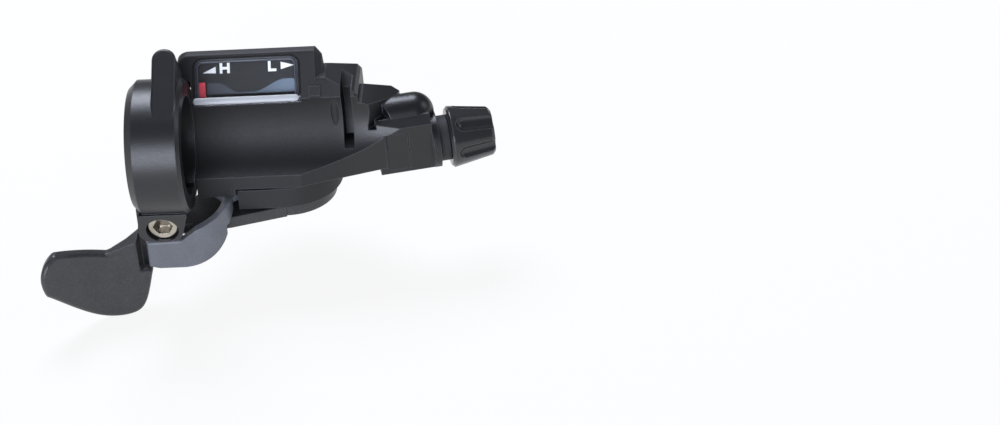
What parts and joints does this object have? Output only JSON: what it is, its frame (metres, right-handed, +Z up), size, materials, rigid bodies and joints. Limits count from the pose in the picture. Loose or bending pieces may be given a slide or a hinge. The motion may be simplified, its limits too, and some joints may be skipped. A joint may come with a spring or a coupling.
{
  "type": "trigger gear shifter",
  "caption": "Left trigger gear shifter for a flat handlebar, with clamp band, gear window, thumb lever, release lever and barrel adjuster.",
  "frame": {"origin": "on the handlebar axis at the middle of the clamp band's width", "axes": "+X along the handlebar towards its middle, +Y forward, +Z up"},
  "size_m": [0.1023, 0.0523, 0.0631],
  "materials": {
    "black_nylon": "satin moulded",
    "lever_resin": "satin moulded",
    "adjuster_resin": "satin moulded",
    "collar_rubber": "matt",
    "lens_clear": "polished clear",
    "dial_black": "printed",
    "needle_red": "gloss",
    "bolt_stainless": "bright",
    "screw_steel": "zinc plated",
    "plate_steel": "stamped",
    "pin_steel": "ground",
    "spring_steel": "drawn wire",
    "spool_acetal": "moulded"
  },
  "bodies": {
    "housing": {"clamp_band": "black_nylon", "clamp_bolt": "bolt_stainless", "clamp_nut": "screw_steel", "band_screws": "screw_steel", "upper_housing": "black_nylon", "window_lens": "lens_clear", "dial_plate": "dial_black", "needle_rail": "pin_steel", "base_plate": "plate_steel", "lower_cover": "black_nylon", "cover_screws": "screw_steel", "pivot_axle": "screw_steel", "axle_washer": "screw_steel", "axle_nut": "screw_steel", "holding_pawl_pin": "pin_steel", "holding_pawl_spring": "spring_steel", "cable_port_cover": "black_nylon", "spool_return_spring": "spring_steel", "release_lever_spring": "spring_steel", "main_lever_spring": "spring_steel"},
    "main_lever": {"main_lever": "lever_resin", "drive_pawl_pin": "pin_steel", "drive_pawl_spring": "spring_steel"},
    "drive_pawl": {"drive_pawl": "plate_steel"},
    "release_lever": {"release_lever": "lever_resin"},
    "holding_pawl": {"holding_pawl": "plate_steel"},
    "spool": {"cable_spool": "spool_acetal", "index_ratchet": "plate_steel"},
    "needle": {"indicator_needle": "needle_red"},
    "adjuster_collar": {"adjuster_collar": "collar_rubber"},
    "adjuster": {"barrel_adjuster": "adjuster_resin"}
  },
  "joints": [
    {"name": "main_lever_push", "type": "hinge", "parent": "housing", "child": "main_lever", "pos_m": [0.0255, 0.0175, -0.0227], "axis": [0, 0, -1], "range_deg": [0, 40], "stiffness_Nm_per_rad": 0.06},
    {"name": "drive_pawl_lift", "type": "hinge", "parent": "main_lever", "child": "drive_pawl", "pos_m": [0.03364, 0.0128, -0.0168], "axis": [0, 0, 1], "range_deg": [0, 6], "stiffness_Nm_per_rad": 0.001},
    {"name": "release_lever_push", "type": "hinge", "parent": "housing", "child": "release_lever", "pos_m": [0.0255, 0.0175, -0.0183], "axis": [0, 0, -1], "range_deg": [0, 5.5], "stiffness_Nm_per_rad": 0.06},
    {"name": "holding_pawl_lift", "type": "hinge", "parent": "housing", "child": "holding_pawl", "pos_m": [0.02793, 0.02658, -0.0168], "axis": [0, 0, -1], "range_deg": [0, 7.7]},
    {"name": "spool_index", "type": "hinge", "parent": "housing", "child": "spool", "pos_m": [0.0255, 0.0175, -0.012], "axis": [0, 0, 1], "range_deg": [0, 80]},
    {"name": "needle_slide", "type": "slide", "parent": "housing", "child": "needle", "axis": [1, 0, 0], "range_m": [0, 0.0195]},
    {"name": "adjuster_advance", "type": "slide", "parent": "housing", "child": "adjuster_collar", "axis": [0.9767, 0.2147, 0], "range_m": [0, 0.002]},
    {"name": "adjuster_turn", "type": "hinge", "parent": "adjuster_collar", "child": "adjuster", "pos_m": [0.0727, 0.0203, -0.0119], "axis": [0.9767, 0.2147, 0], "range_deg": [0, 900]}
  ],
  "couplings": [
    {"joint": "needle_slide", "follows": "spool_index", "m_per_rad": 0.013965},
    {"joint": "holding_pawl_lift", "follows": "release_lever_push", "ratio": 1.4},
    {"joint": "adjuster_turn", "follows": "adjuster_advance", "rad_per_m": 7854}
  ]
}
